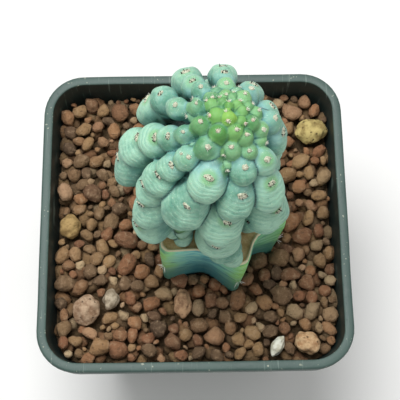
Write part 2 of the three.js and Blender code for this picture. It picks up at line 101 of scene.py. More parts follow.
# Scion
SCION_HEIGHT = 49.5
DOME_DEPTH = 24
DOME_RADIUS = 15
CORE_SHARE = 0.7
VOXEL = 0.42
# how far an areole sits from the middle of its tubercle towards the crown, in half widths
AREOLE_RISE = 0.5
LOWEST_AREOLE = 10.5
TUBERCLE_SEED = 23
AREOLE_SEED = 77
# heights of the rings of flesh under the ribs, and how many points each ring has
CORE_HEIGHTS = (-2, 3, 8, 13, 18, 23, 28, 32, 36, 39.5, 42.5, 44.4, 45.8, 46.8)
CORE_POINTS = 72
# age from which an areole has dark spines
MATURE_AGE = 0.27
# bearing, distance and height of the youngest flesh
GROWING_POINT = (250, 1.8, 49.3)
# ribs from the crown down, each tubercle with its bearing, distance from the axis, height and half width
SCION_RIBS = [
    [(162, 7.5, 46.5, 2.2), (160, 12.2, 43, 2.8), (147, 17.5, 38, 3.3), (146, 20.7, 30.5, 3.9),
     (144, 18.8, 22, 4.0), (146, 15.4, 13.5, 3.9), (148, 12.4, 5, 3.5)],
    [(202, 6.8, 47, 2.5), (198, 10.6, 44, 2.4), (190, 13.3, 40.5, 3.1), (182, 16.4, 36, 4.0),
     (178, 20.4, 30.5, 4.6), (181, 22.8, 24, 4.5), (181, 17.4, 16, 3.9), (184, 14.6, 8.5, 3.7),
     (185, 12.2, 3.5, 3.3)],
    [(235, 8.7, 45, 2.9), (221, 12.6, 41.5, 3.0), (214, 15.6, 38, 3.3), (211, 17.8, 33.5, 4.1),
     (208, 19.2, 28, 3.9), (212, 20.6, 21, 4.2), (212, 20.9, 12, 4.8), (215, 16.2, 6, 3.3)],
    [(244, 5.4, 47.5, 2.4), (250, 13.7, 39, 4.3), (239, 17.2, 31, 4.9), (233, 15.2, 21, 2.9),
     (231, 14.6, 10, 2.3), (231, 14.3, 3.5, 2.3)],
    [(286, 4.5, 47.5, 2.2), (275, 7.3, 44.5, 2.5), (288, 11.0, 40.5, 3.3), (280, 14.0, 33.5, 4.3),
     (269, 15.6, 24.5, 5.1), (267, 15.9, 14.5, 5.2), (274, 16.6, 8, 4.0), (281, 17.0, 3, 2.7)],
    [(304, 6.3, 46.5, 2.2), (301, 8.7, 44, 2.2), (316, 11.2, 40, 3.4), (311, 14.2, 33, 4.4),
     (313, 15.6, 22.5, 5.2), (316, 12.5, 13, 4.2), (320, 10.8, 5.5, 3.2)],
    [(339, 5.3, 47, 2.2), (341, 7.6, 45, 2.2), (6, 9.8, 42.5, 3.0), (0, 11.2, 37, 3.6),
     (358, 10.4, 29, 3.8), (355, 9.8, 20, 3.9), (354, 9.8, 11.5, 3.8), (354, 10.0, 4, 3.4)],
    [(12, 6.2, 46, 1.9), (30, 11.0, 39, 3.2), (30, 13.0, 31, 3.9), (29, 13.2, 22, 4.0), (28, 12.2, 13, 3.9),
     (28, 11.2, 4.5, 3.5)],
    [(54, 5.8, 46.5, 2.3), (57, 9.2, 43, 2.9), (62, 13.2, 37.5, 3.3), (63, 15.0, 29, 3.8),
     (63, 15.0, 20, 4.1), (63, 13.4, 11.5, 3.9), (64, 11.8, 4, 3.5)],
    [(94, 5.3, 46, 2.1), (91, 9.8, 43.5, 2.5), (91, 14.2, 40, 3.0), (90, 18.9, 34, 3.4),
     (91, 20.2, 26, 4.1), (92, 18.0, 17, 4.2), (93, 15.0, 9.5, 3.9), (94, 12.2, 3.5, 3.5)],
    [(130, 5.7, 46.5, 2.0), (126, 10.2, 44, 2.6), (122, 14.0, 40, 3.1), (117, 19.2, 34, 3.9),
     (117, 20.4, 25.5, 4.3), (119, 18.0, 16.5, 4.3), (121, 15.0, 9, 3.9), (122, 12.2, 3.5, 3.5)],
]
# young tubercles round the growing point, and buds between the ribs
CROWN_BUDS = [
    (198, 3.0, 48.3, 2.3), (262, 1.9, 49.0, 2.0), (148, 4.4, 47.4, 1.8), (118, 3.3, 47.9, 1.5),
    (48, 2.6, 48.4, 1.5), (8, 3.0, 48.3, 1.5), (78, 4.7, 47.2, 1.5), (320, 3.4, 48.0, 1.6),
    (92, 1.3, 49.2, 1.2), (228, 0.7, 49.6, 1.0), (269, 9.6, 41.8, 1.7), (293, 13.8, 22, 1.3),
    (330, 8.4, 43.6, 1.8), (72, 7.4, 45, 1.7), (110, 7.4, 45.4, 1.6), (28, 5.0, 47.0, 1.5),
    (174, 7.9, 44.6, 1.6), (218, 9.9, 42.6, 1.6), (262, 7.6, 44.6, 1.5), (142, 8.6, 43.8, 1.6),
]

# Pale stones that lie loose on the bed: node, place, half sizes, turn, and their two colours
PALE_STONES = [
    ("yellow_pumice", 36.3, 28.5, 5.0, 4.0, 3.2, 20, (190, 172, 112), (146, 126, 78)),
    ("pitted_stone", -31.7, -25.8, 4.6, 3.8, 3.2, 70, (180, 154, 128), (130, 102, 78)),
    ("grey_stone", -24.6, -23.0, 3.2, 2.4, 2.4, 80, (180, 166, 144), (130, 116, 96)),
    ("long_stone", -3.8, -24.6, 4.4, 2.6, 2.6, 85, (184, 148, 114), (136, 104, 78)),
    ("white_chip", 23.5, -37.2, 3.4, 1.8, 2.2, 60, (226, 226, 212), (190, 186, 164)),
    ("pink_stone", 32.5, -36.6, 4.2, 3.2, 2.8, 150, (204, 172, 132), (162, 122, 86)),
    ("cream_stone", -37.0, -0.9, 3.8, 3.2, 2.8, 100, (168, 140, 92), (122, 98, 60)),
]
PALE_STONE_LIFT = 1.6
PALE_STONE_SEED = 101

# Camera and light: places and widths in metres, lens and sensor in millimetres
CAMERA_PLACE = (0.00182, -0.0767, 0.3468)
CAMERA_AIM = (0, 0.2924, -0.9563)
CAMERA_ROLL = math.radians(-0.8)
CAMERA_LENS = 85.5
CAMERA_SENSOR = 36
WORLD_STRENGTH = 0.42
# area lights: name, place, width and power
LIGHTS = [("key", (-0.08, 0.13, 0.6), 0.34, 3.2), ("fill", (0.5, -0.35, 0.5), 0.5, 0.4)]
LIGHT_AIM = (0, 0, 0.08)


def make_draw(seed):
    """Repeatable random draws between 0 and 1"""
    state = seed

    def draw():
        nonlocal state
        state = state * 16807 % 2147483647
        return state / 2147483647

    return draw


def clamp(value, low=0.0, high=1.0):
    return min(max(value, low), high)


def lerp(a, b, share):
    return a + (b - a) * share


def smooth_step(low, high, value):
    share = clamp((value - low) / (high - low))
    return share * share * (3 - 2 * share)


def paint(red, green, blue):
    """A colour from its screen values"""
    def linear(value):
        share = value / 255
        return share / 12.92 if share <= 0.04045 else ((share + 0.055) / 1.055) ** 2.4
    return (linear(red), linear(green), linear(blue), 1.0)


# Materials
class Wire:
    """A socket of a material's nodes; sums on it add Math nodes"""

    def __init__(self, tree, socket=None):
        self.tree = tree
        self.socket = socket

    def node(self, kind, settings=None, inputs=None, output=0):
        made = self.tree.nodes.new(kind)
        for name, value in (settings or {}).items():
            if name == "stops":
                ramp = made.color_ramp
                while len(ramp.elements) < len(value):
                    ramp.elements.new(0.5)
                for element, (place, colour) in zip(ramp.elements, value):
                    element.position = place
                    element.color = colour
            else:
                setattr(made, name, value)
        for name, value in (inputs or {}).items():
            if isinstance(value, Wire):
                self.tree.links.new(value.socket, made.inputs[name])
            else:
                made.inputs[name].default_value = value
        return Wire(self.tree, made.outputs[output])

    def math(self, operation, first, second=0.0):
        return self.node("ShaderNodeMath", {"operation": operation}, {0: first, 1: second})

    def __add__(self, other):
        return self.math("ADD", self, other)

    __radd__ = __add__

    def __mul__(self, other):
        return self.math("MULTIPLY", self, other)

    __rmul__ = __mul__

    def __sub__(self, other):
        return self.math("SUBTRACT", self, other)

    def __rsub__(self, other):
        return self.math("SUBTRACT", other, self)


def ramp(value, low, high):
    """0 below low and 1 above high, smooth between"""
    settings = {"interpolation_type": "SMOOTHSTEP"}
    return value.node("ShaderNodeMapRange", settings, {"Value": value, "From Min": low, "From Max": high})


def wave(value):
    return value.node("ShaderNodeMath", {"operation": "SINE"}, {0: value})


def blend(share, first, second):
    """A colour between two others"""
    settings = {"data_type": "RGBA", "blend_type": "MIX", "clamp_result": False}
    return share.node("ShaderNodeMix", settings, {0: share, 6: first, 7: second}, 2)


def stops(value, *places):
    """A colour picked along a ramp"""
    return value.node("ShaderNodeValToRGB", {"stops": places}, {"Fac": value})


def grain(place, size, detail=2.0, roughness=0.5):
    """Noise with spots of about this size in millimetres"""
    settings = {"Vector": place, "Scale": 1000 / size, "Detail": detail, "Roughness": roughness}
    return place.node("ShaderNodeTexNoise", None, settings, "Fac")


def pits(place, size):
    """Distance to the nearest of scattered points about this far apart in millimetres"""
    inputs = {"Vector": place, "Scale": 1000 / size}
    return place.node("ShaderNodeTexVoronoi", {"feature": "F1"}, inputs, "Distance")


def stretched(place, scale, turn=(0, 0, 0)):
    """A pattern's coordinates, scaled and turned"""
    turned = tuple(math.radians(angle) for angle in turn)
    inputs = {"Vector": place, "Scale": scale, "Rotation": turned}
    return place.node("ShaderNodeMapping", None, inputs)


def start_material(name):
    """A material's surface shader, its object coordinates and a way to read the attributes of a piece"""
    material = bpy.data.materials.new(name)
    material.use_nodes = True
    tree = material.node_tree
    surface = tree.nodes["Principled BSDF"]
    start = Wire(tree)
    place = start.node("ShaderNodeTexCoord", None, None, "Object")

    def read(attribute):
        return start.node("ShaderNodeAttribute", {"attribute_name": attribute}, None, "Fac")

    return material, surface, place, read


def end_material(surface, colour, roughness, relief=None, **constants):
    """Connects colour, roughness and a relief in millimetres, and sets what is even all over"""
    for name, value in (("Base Color", colour), ("Roughness", roughness)):
        if isinstance(value, Wire):
            value.tree.links.new(value.socket, surface.inputs[name])
        else:
            surface.inputs[name].default_value = value
    if relief is not None:
        bump = relief.node("ShaderNodeBump", None, {"Strength": 1.0, "Distance": 0.001, "Height": relief})
        relief.tree.links.new(bump.socket, surface.inputs["Normal"])
    for name, value in constants.items():
        surface.inputs[name.replace("_", " ")].default_value = value


def scion_flesh():
    """Waxy mint skin: green and fresh at the crown, with painted blue-green shade in the creases between
    tubercles and on their flanks, pale lower lips that are partly a painted highlight, and fine stretch rings
    """
    material, surface, place, read = start_material("scion_flesh")
    age, tone, groove = read("age"), read("tone"), read("groove")
    ring, lip, side, halo = read("ring"), read("lip"), read("side"), read("halo")
    bloom = grain(place, 5, 4)
    mottle = grain(place, 1.2, 4, 0.65)
    crown = stops(age, (0.0, paint(104, 158, 44)), (0.03, paint(76, 134, 54)), (0.12, paint(72, 130, 80)),
                  (0.24, paint(84, 140, 118)), (1.0, paint(92, 148, 130)))
    wax = stops(age, (0.0, paint(148, 192, 76)), (0.03, paint(114, 168, 88)), (0.12, paint(124, 174, 124)),
                (0.26, paint(150, 196, 170)), (1.0, paint(168, 210, 186)))
    wobble = grain(place, 2.6, 3) * 11
    line = wave(ring * 7.5 + wobble)
    fine = wave(ring * 19 + wobble * 1.7)
    old = ramp(age, 0.14, 0.34) * ramp(lip, -0.7, 0.0)
    powder = ramp(bloom * 0.6 + mottle * 0.3 + lip * 0.05 + tone * 0.2, 0.3, 0.68)
    colour = blend(powder, crown, wax)
    middle = ramp(age, 0.1, 0.2) * ramp(age, 0.5, 0.3)
    blue = ramp(lip, 0.2, -0.7) * middle * ramp(bloom + tone * 0.3, 0.4, 0.7) * 0.5
    colour = blend(blue, colour, paint(124, 170, 182))
    # painted shade on the flanks of each tubercle, where its out coordinate falls
    colour = blend(ramp(side, 0.6, -0.1) * 0.5, colour, paint(80, 138, 138))
    # pale lower lips of the older tubercles: a pale wax edge, with a painted highlight where the lip stands
    # proud
    colour = blend(ramp(lip, 0.55, 1.0) * ramp(age, 0.12, 0.3) * 0.35, colour, paint(184, 218, 196))
    # painted blue-green shade in the creases between tubercles, and darker lines of painted shade in the
    # deepest creases
    shade = blend(ramp(age, 0.1, 0.2), paint(48, 98, 52), paint(64, 124, 128))
    colour = blend(ramp(groove, 0.0, 0.8) * 0.6, colour, shade)
    colour = blend(ramp(groove, 0.3, 1.0) * (ramp(age, 0.1, 0.26) * 0.5 + 0.4), colour, paint(16, 48, 42))
    clear = ramp(grain(place, 3.4, 3), 0.42, 0.62)
    colour = blend(ramp(line * 0.6 + fine * 0.4, 0.1, 1.0) * 0.2 * old * clear, colour, paint(206, 230, 208))
    colour = blend(ramp(0 - line, 0.2, 1.0) * 0.26 * old * clear, colour, paint(62, 124, 116))
    fresh = ramp(halo, 2.8, 1.3) * ramp(tone + bloom * 0.5, 0.5, 1.1) * 0.6
    colour = blend(fresh, colour, paint(112, 168, 92))
    colour = blend(ramp(mottle, 0.62, 0.75) * 0.25, colour, paint(104, 158, 112))
    dust = ramp(grain(place, 0.28, 1), 0.62, 0.7) * ramp(mottle, 0.42, 0.6)
    colour = blend(dust * ramp(age, 0.08, 0.2) * 0.45, colour, paint(208, 232, 212))
    relief = (line * 0.03 + fine * 0.01) * old + bloom * 0.15 + mottle * 0.06
    end_material(surface, colour, 0.46 + powder * 0.16, relief, Subsurface_Weight=0.05,
                 Subsurface_Scale=0.0015, Specular_IOR_Level=0.4)
    return material


def stock_flesh():
    """Green rib edges over blue waxy flanks, painted shade darkening the flanks towards the foot, a pale
    dried rim and a tan cut face
    """
    material, surface, place, read = start_material("stock_flesh")
    edge, rim, cut, drop, sunny = read("edge"), read("rim"), read("cut"), read("drop"), read("sunny")
    bloom = grain(place, 4, 4)
    mottle = grain(place, 0.8, 4, 0.65)
    streak = grain(stretched(place, (0.24, 0.24, 1.3), (0, -12, 0)), 1.6, 4)
    flank = stops(edge + bloom * 0.5 - 0.25, (0.0, paint(164, 224, 122)), (0.16, paint(158, 228, 160)),
                  (0.34, paint(144, 220, 196)), (0.62, paint(116, 198, 198)), (1.0, paint(102, 182, 188)))
    flank = blend(ramp(sunny, 0.2, 0.9) * 0.65, flank, paint(126, 194, 102))
    flank = blend(ramp(streak, 0.5, 0.64) * 0.6, flank, paint(176, 230, 206))
    flank = blend(ramp(streak, 0.46, 0.34) * 0.6, flank, paint(56, 120, 136))
    # painted shade on the flanks, darker towards the foot
    flank = blend(ramp(drop, 0.45, 1.0) * 0.75, flank, paint(44, 112, 126))
    fibre = grain(place, 0.5, 4, 0.7)
    dried = stops(bloom * 0.6 + fibre * 0.4, (0.3, paint(164, 140, 88)), (0.48, paint(204, 174, 120)),
                  (0.62, paint(224, 200, 150)), (0.8, paint(180, 180, 124)))
    colour = blend(cut, flank, dried)
    colour = blend(ramp(rim + (bloom - 0.5) * 0.7, 0.4, 0.7), colour, paint(222, 214, 178))
    relief = (1 - cut) * (bloom * 0.15 + streak * 0.08 + mottle * 0.04) + cut * fibre * 0.3
    end_material(surface, colour, 0.5 + cut * 0.3, relief, Subsurface_Weight=0.06, Subsurface_Scale=0.0015,
                 Specular_IOR_Level=0.4)
    return material


def wool():
    material, surface, place, read = start_material("areole_wool")
    age = read("age")
    tuft = grain(place, 0.5, 3, 0.7)
    colour = stops(tuft, (0.3, paint(146, 150, 124)), (0.5, paint(196, 198, 174)),
                   (0.7, paint(228, 228, 208)))
    rosy = ramp(age, 0.16, 0.05) * ramp(grain(place, 1.3), 0.42, 0.62) * 0.6
    colour = blend(rosy, colour, paint(222, 176, 158))
    end_material(surface, colour, 0.95, tuft * 0.4 + grain(place, 0.2) * 0.2)
    return material


def spine_horn(name, base, tip):
    material, surface, place, read = start_material(name)
    colour = blend(ramp(read("along") + grain(place, 0.6) * 0.3, 0.3, 0.9), base, tip)
    end_material(surface, colour, 0.5, grain(place, 0.3) * 0.03)
    return material


def lava_grit():
    """Rough lava and pumice, each stone of its own brown, with painted shade in its pits, hollows and lower
    layers and painted highlights on its bumps
    """
    material, surface, place, read = start_material("lava_grit")
    tone, tint, depth = read("tone"), read("tint"), read("depth")
    rough = grain(place, 1.6, 5, 0.65)
    speck = grain(place, 0.35, 2, 0.6)
    pitted = pits(place, 0.9)
    colour = stops(tone, (0.0, paint(90, 72, 56)), (0.22, paint(114, 91, 68)), (0.42, paint(130, 104, 75)),
                   (0.6, paint(146, 116, 82)), (0.76, paint(160, 128, 90)), (0.88, paint(150, 130, 102)),
                   (0.95, paint(184, 158, 122)), (1.0, paint(200, 180, 146)))
    colour = blend(ramp(tint, 0.4, 1.0) * 0.6, colour, paint(152, 100, 70))
    # painted highlight on the raised bumps of the relief and painted shade in its hollows
    colour = blend(ramp(rough, 0.5, 0.7) * 0.5, colour, paint(178, 150, 120))
    colour = blend(ramp(rough, 0.46, 0.28) * 0.6, colour, paint(76, 58, 44))
    colour = blend(ramp(speck, 0.62, 0.74) * 0.4, colour, paint(210, 184, 150))
    # painted shade in the pits
    colour = blend(ramp(pitted, 0.26, 0.1) * 0.25, colour, paint(60, 46, 36))
    # painted shade on the stones lower in the bed and on the fines between them
    colour = blend(ramp(depth, 0.0, 1.0) * 0.7, colour, paint(84, 68, 44))
    relief = rough * 1.0 + speck * 0.14 - ramp(pitted, 0.35, 0.05) * 0.12
    end_material(surface, colour, 0.88, relief, Specular_IOR_Level=0.25)
    return material


def pale_stone_skin(name, light, dark, pitting):
    material, surface, place, _ = start_material(name)
    rough = grain(place, 2.2, 5, 0.65)
    speck = grain(place, 0.4, 3, 0.6)
    pitted = pits(place, 1.1) + ramp(grain(place, 1.4, 3), 0.6, 0.42) * 0.5
    colour = blend(ramp(rough, 0.36, 0.62), paint(*dark), paint(*light))
    # painted shade in the pits
    colour = blend(ramp(pitted, 0.4, 0.15) * pitting * 0.8, colour, paint(*[value * 0.55 for value in dark]))
    colour = blend(ramp(speck, 0.6, 0.75) * 0.35, colour, paint(*[min(255, value * 1.15) for value in light]))
    relief = rough * 0.5 + speck * 0.08 - ramp(pitted, 0.45, 0.1) * 0.4 * pitting
    end_material(surface, colour, 0.85, relief, Specular_IOR_Level=0.3)
    return material


def pot_plastic():
    """Thin grey-green nursery plastic, dusty on the rim, with water marks inside and scuffs outside, a
    painted highlight on the rim and painted shade on the inner wall
    """
    material, surface, place, read = start_material("pot_plastic")
    top, inside = read("top"), read("inside")
    cloud = grain(place, 9, 4)
    fine = grain(place, 0.5, 3, 0.6)
    speck = grain(place, 0.9, 1)
    drip = grain(stretched(place, (1, 1, 0.12)), 2.4, 3)
    scratch = grain(stretched(place, (1, 0.05, 0.05), (0, 0, 28)), 0.6, 2)
    colour = blend(ramp(cloud, 0.35, 0.65), paint(48, 70, 65), paint(58, 80, 74))
    # painted shade on the inner wall
    colour = blend(inside, colour, paint(32, 46, 44))
    colour = blend(ramp(drip, 0.58, 0.78) * 0.14, colour, paint(112, 126, 116))
    # painted highlight on the top of the rim
    colour = blend(top * 0.1, colour, paint(104, 128, 120))
    colour = blend(ramp(scratch, 0.62, 0.72) * 0.3, colour, paint(140, 158, 150))
    dusty = ramp(speck, 0.68, 0.74) * ramp(top, 0.2, 0.8)
    colour = blend(dusty * ramp(cloud, 0.45, 0.6) * 0.6, colour, paint(196, 198, 180))
    relief = fine * 0.05 + cloud * 0.2 + ramp(scratch, 0.6, 0.72) * 0.02
    end_material(surface, colour, 0.42 + cloud * 0.2 + dusty * 0.3, relief)
    return material


# Pieces
def add_object(name, data):
    made = bpy.data.objects.new(name, data)
    bpy.context.scene.collection.objects.link(made)
    return made


def finish_mesh(mesh, name, material, nodes, sharp=None):
    """Makes a mesh in millimetres a piece in metres that stands for its nodes"""
    mesh.transform(Matrix.Scale(0.001, 4))
    mesh.materials.append(material)
    mesh.shade_smooth()
    if sharp is not None:
        mesh.set_sharp_from_angle(angle=math.radians(sharp))
    piece = add_object(name, mesh)
    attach(piece, "root")
    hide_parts(*nodes)
    return piece


def to_mesh(bm):
    mesh = bpy.data.meshes.new("shape")
    bm.to_mesh(mesh)
    bm.free()
    return mesh


def mark(mesh, **values):
    """Writes a value on each point for every named attribute"""
    for name, value in values.items():
        attribute = mesh.attributes.new(name, "FLOAT", "POINT")
        attribute.data.foreach_set("value", np.broadcast_to(value, len(mesh.vertices)).astype(np.float32))


def points_of(mesh):
    flat = np.empty(len(mesh.vertices) * 3, np.float32)
    mesh.vertices.foreach_get("co", flat)
    return flat.reshape(-1, 3).astype(float)


def shape_of(bm):
    """Points and faces of a bmesh, which is freed"""
    bm.verts.index_update()
    points = np.array([vert.co[:] for vert in bm.verts])
    faces = [[vert.index for vert in face.verts] for face in bm.faces]
    bm.free()
    return points, faces


def unit_ball(level):
    bm = bmesh.new()
    bmesh.ops.create_icosphere(bm, subdivisions=level, radius=1)
    return shape_of(bm)


def unit_spine(sides):
    bm = bmesh.new()
    bmesh.ops.create_cone(bm, cap_ends=True, segments=sides, radius1=1, radius2=SPINE_TIP, depth=1)
    return shape_of(bm)


class Heap:
    """Many placed copies of unit shapes, gathered into one mesh with a value on each point for each name"""

    def __init__(self, *names):
        self.points = []
        self.faces = []
        self.values = {name: [] for name in names}
        self.count = 0

    def add(self, points, faces, **values):
        self.points.append(points)
        self.faces += [[corner + self.count for corner in face] for face in faces]
        self.count += len(points)
        for name, stack in self.values.items():
            stack.append(np.broadcast_to(values[name], len(points)))

    def mesh(self):
        mesh = bpy.data.meshes.new("heap")
        mesh.from_pydata(np.concatenate(self.points).tolist(), [], self.faces)
        mark(mesh, **{name: np.concatenate(stack) for name, stack in self.values.items()})
        return mesh


def modified(mesh, kind, settings):
    """The mesh after one modifier"""
    draft = add_object("draft", mesh)
    modifier = draft.modifiers.new("change", kind)
    for name, value in settings.items():
        setattr(modifier, name, value)
    evaluated = draft.evaluated_get(bpy.context.evaluated_depsgraph_get())
    result = bpy.data.meshes.new_from_object(evaluated)
    bpy.data.objects.remove(draft)
    return result


def loft(rings, values=None):
    """A closed skin through rings of points: a grid set to the rings, with its seam merged"""
    bm = bmesh.new()
    layers = {name: bm.verts.layers.float.new(name) for name in values or ()}
    count = len(rings[0])
    rows = len(rings) - 1
    bmesh.ops.create_grid(bm, x_segments=count, y_segments=rows, size=1)
    for vert in bm.verts:
        column = round((vert.co.x + 1) / 2 * count) % count
        row = round((vert.co.y + 1) / 2 * rows)
        vert.co = rings[row][column]
        for name, layer in layers.items():
            value = values[name][row]
            vert[layer] = value[column] if isinstance(value, list) else value
    bmesh.ops.remove_doubles(bm, verts=bm.verts, dist=1e-4)
    filled = bmesh.ops.holes_fill(bm, edges=bm.edges, sides=0)["faces"]
    bmesh.ops.triangulate(bm, faces=filled)
    bmesh.ops.recalc_face_normals(bm, faces=bm.faces)
    return bm


def axes_of(*directions):
    """Turns local coordinates into the plant's, along three directions"""
    return np.array([direction[:] for direction in directions])


UNIT_BALLS = {level: unit_ball(level) for level in (2, 4, 5)}
UNIT_SPINES = {sides: unit_spine(sides) for sides in (3, 5)}


# Plant frame: right, back and up along the leaning axis, from the cut face of the graft
UP = Vector((math.sin(LEAN_RIGHT), math.sin(LEAN_BACK), 0))
UP.z = math.sqrt(1 - UP.length_squared)
RIGHT = (Vector((1, 0, 0)) - UP * UP.x).normalized()
BACK = UP.cross(RIGHT)
GRAFT = PLANT_FOOT + UP * STOCK_RISE


def from_graft(radius, angle, height):
    """A point round the plant's axis, from its distance, bearing in degrees and height over the cut"""
    turn = math.radians(angle)
    return GRAFT + UP * height + RIGHT * (radius * math.cos(turn)) + BACK * (radius * math.sin(turn))


def to_graft(point):
    """Distance, bearing in degrees and height over the cut of a point"""
    away = point - GRAFT
    right, back = away.dot(RIGHT), away.dot(BACK)
    return math.hypot(right, back), math.degrees(math.atan2(back, right)), away.dot(UP)


# Pot
def square_ring(half, corner, z):
    """Points round a square with rounded corners"""
    ring = []
    for quarter, (side_x, side_y) in enumerate(CORNERS):
        for step in range(CORNER_STEPS + 1):
            angle = math.radians((quarter + step / CORNER_STEPS) * 90)
            x = side_x * (half - corner) + corner * math.cos(angle)
            y = side_y * (half - corner) + corner * math.sin(angle)
            ring.append(Vector((x, y, z)))
        next_x, next_y = CORNERS[(quarter + 1) % 4]
        last = ring[-1]
        angle = math.radians((quarter + 1) * 90)
        goal_x = next_x * (half - corner) + corner * math.cos(angle)
        goal_y = next_y * (half - corner) + corner * math.sin(angle)
        for step in range(1, SIDE_STEPS):
            share = step / SIDE_STEPS
            ring.append(Vector((lerp(last.x, goal_x, share), lerp(last.y, goal_y, share), z)))
    return ring


BODY_TOP_HALF = POT_WIDTH / 2 - LIP_SLOPE - SKIRT_STEP


def body_half(z):
    return lerp(BASE_WIDTH / 2, BODY_TOP_HALF, z / SKIRT_BOTTOM)


def body_ring(z, inset):
    corner = lerp(BASE_CORNER, LIP_CORNER - SKIRT_STEP, z / SKIRT_BOTTOM)
    return square_ring(body_half(z) - inset, corner - inset, z)


def make_pot():
    lip = POT_WIDTH / 2
    foot = BASE_WIDTH / 2 - FOOT_WIDTH
    foot_corner = BASE_CORNER - FOOT_WIDTH + 2
    inner = lip - LIP_WIDTH
    outer_rings = [
        square_ring(foot - 1.5, foot_corner, FLOOR_RISE),
        square_ring(foot - 0.4, foot_corner, 0.3),
        square_ring(foot, foot_corner, 0),
        square_ring(BASE_WIDTH / 2 - 0.9, BASE_CORNER - 0.9, 0),
        square_ring(BASE_WIDTH / 2 - 0.3, BASE_CORNER - 0.3, 0.25),
        body_ring(0.9, 0),
    ]
    outer_rings += [body_ring(z, 0) for z in (8, 20, 32, 44, 56, 66, SKIRT_BOTTOM)]
    outer_rings += [
        square_ring(lip - 0.8, LIP_CORNER - 0.8, SKIRT_BOTTOM),
        square_ring(lip - 0.55, LIP_CORNER - 0.55, SKIRT_BOTTOM + 0.3),
        square_ring(lip - 0.3, LIP_CORNER - 0.3, 76),
        square_ring(lip, LIP_CORNER, POT_HEIGHT - 0.9),
        square_ring(lip - 0.1, LIP_CORNER - 0.1, POT_HEIGHT - 0.4),
    ]
    top_rings = [
        square_ring(lip - 0.35, LIP_CORNER - 0.35, POT_HEIGHT - 0.1),
        square_ring(lip - 0.7, LIP_CORNER - 0.7, POT_HEIGHT),
        square_ring(lip - 1.4, LIP_CORNER - 1.4, POT_HEIGHT - 0.05),
        square_ring(inner + 0.5, LIP_CORNER - LIP_WIDTH + 0.5, POT_HEIGHT),
        square_ring(inner + 0.15, LIP_CORNER - LIP_WIDTH + 0.15, POT_HEIGHT - 0.2),
    ]
    inner_rings = [square_ring(inner, LIP_CORNER - LIP_WIDTH, POT_HEIGHT - 0.7)]
    inner_rings += [body_ring(z, WALL) for z in (SKIRT_BOTTOM, 60, 40, 20, FLOOR_TOP + 1.5)]
    inner_rings += [body_ring(FLOOR_TOP, WALL + 1.5)]
    rings = outer_rings + top_rings + inner_rings
    counts = [len(outer_rings), len(top_rings), len(inner_rings)]
    # top marks the rim, which gets dust specks and a painted highlight; inside marks the inner wall, which
    # gets painted shade
    marks = {"top": [0] * counts[0] + [1] * counts[1] + [0] * counts[2],
             "inside": [0] * (counts[0] + counts[1]) + [1] * counts[2]}
    pot = loft(rings, marks)
    for vert in pot.verts:
        if vert.co.z > SKIRT_BOTTOM - 2:
            sag = max(0.35 * noise.noise(vert.co / 22) + 0.08 * noise.noise(vert.co / 5), 0)
            vert.co.x -= math.copysign(sag, vert.co.x)
            vert.co.y -= math.copysign(sag, vert.co.y)
    drills = bmesh.new()
    side = DRAIN_HOLE_REACH * math.sqrt(0.5)
    for x, y in [(0, 0)] + [(x, y) for x in (-side, side) for y in (-side, side)]:
        spot = Matrix.Translation((x, y, FLOOR_TOP))
        bmesh.ops.create_cone(drills, cap_ends=True, segments=24, radius1=DRAIN_HOLE_RADIUS,
                              radius2=DRAIN_HOLE_RADIUS, depth=12, matrix=spot)
    drill = add_object("drills", to_mesh(drills))
    settings = {"object": drill, "operation": "DIFFERENCE", "solver": "EXACT"}
    mesh = modified(to_mesh(pot), "BOOLEAN", settings)
    bpy.data.objects.remove(drill)
    finish_mesh(mesh, "nursery_pot", pot_plastic(), ["pot"], 35)


# Stock
def star_place(angle):
    """Reach of the nearest rib edge, half the gap between the edges, and how far off the bearing is"""
    for i, (bearing, reach) in enumerate(STOCK_TIPS):
        next_bearing, next_reach = STOCK_TIPS[(i + 1) % len(STOCK_TIPS)]
        gap = (next_bearing - bearing) % 360
        turn = (angle - bearing) % 360
        if turn < gap:
            break
    return (reach, gap / 2, turn) if turn < gap / 2 else (next_reach, gap / 2, gap - turn)


def star_radius(angle, height=0.0):
    """Straight flanks between blunt rib edges and rounded valleys, which are deeper near the foot"""
    reach, half, off = star_place(angle)
    valley = lerp(STOCK_VALLEY, STOCK_VALLEY_FOOT, clamp(-height / STOCK_RISE))
    valley_x = valley * math.cos(math.radians(half))
    valley_y = valley * math.sin(math.radians(half))
    lean = math.radians(off)
    flank = reach * valley_y / (valley_y * math.cos(lean) + (reach - valley_x) * math.sin(lean))
    blunt = (reach - STOCK_BLUNT) / math.cos(lean)
    edge = blunt - math.log1p(math.exp((blunt - flank) / 0.3)) * 0.3
    return edge + 0.7 * math.exp(-(((half - off) / 6) ** 2))


def rib_share(angle):
    """0 on a rib's edge and 1 in a valley"""
    _, half, off = star_place(angle)
    return off / half


# rows of the stock's skin from its foot to the middle of its cut face: height, scale, inset, rim and cut
STOCK_ROWS = [
    (-STOCK_RISE - STOCK_DEPTH, 0.12, 0, 0, 0), (-STOCK_RISE - STOCK_DEPTH * 0.85, 0.5, 0, 0, 0),
    (-STOCK_RISE - 4, STOCK_FOOT_SCALE * 0.98, 0, 0, 0), (-STOCK_RISE - 1, 0.938, 0, 0, 0),
    (-18.4, 0.94, 0, 0, 0), (-16, 0.95, 0, 0, 0), (-13.5, 0.963, 0, 0, 0), (-11, 0.975, 0, 0, 0),
    (-8.5, 0.985, 0, 0, 0), (-6, 0.992, 0, 0, 0), (-4, 0.998, 0, 0, 0), (-2.6, 1, 0.03, 0, 0),
    (-1.6, 1, 0.15, 0, 0), (-0.8, 1, 0.4, 0.1, 0), (-0.3, 1, 0.66, 0.8, 0), (-0.03, 1, 0.85, 1, 0),
    (0, 1, 1.05, 1, 0), (-0.08, 1, 1.25, 1, 0.1), (-0.4, 1, 1.42, 0.7, 0.7), (-0.75, 1, 1.6, 0, 1),
    (-0.85, 1, 2.6, 0, 1), (-0.8, 1, 4.5, 0, 1), (-0.8, 1, 8, 0, 1), (-0.8, 1, 11, 0, 1),
]


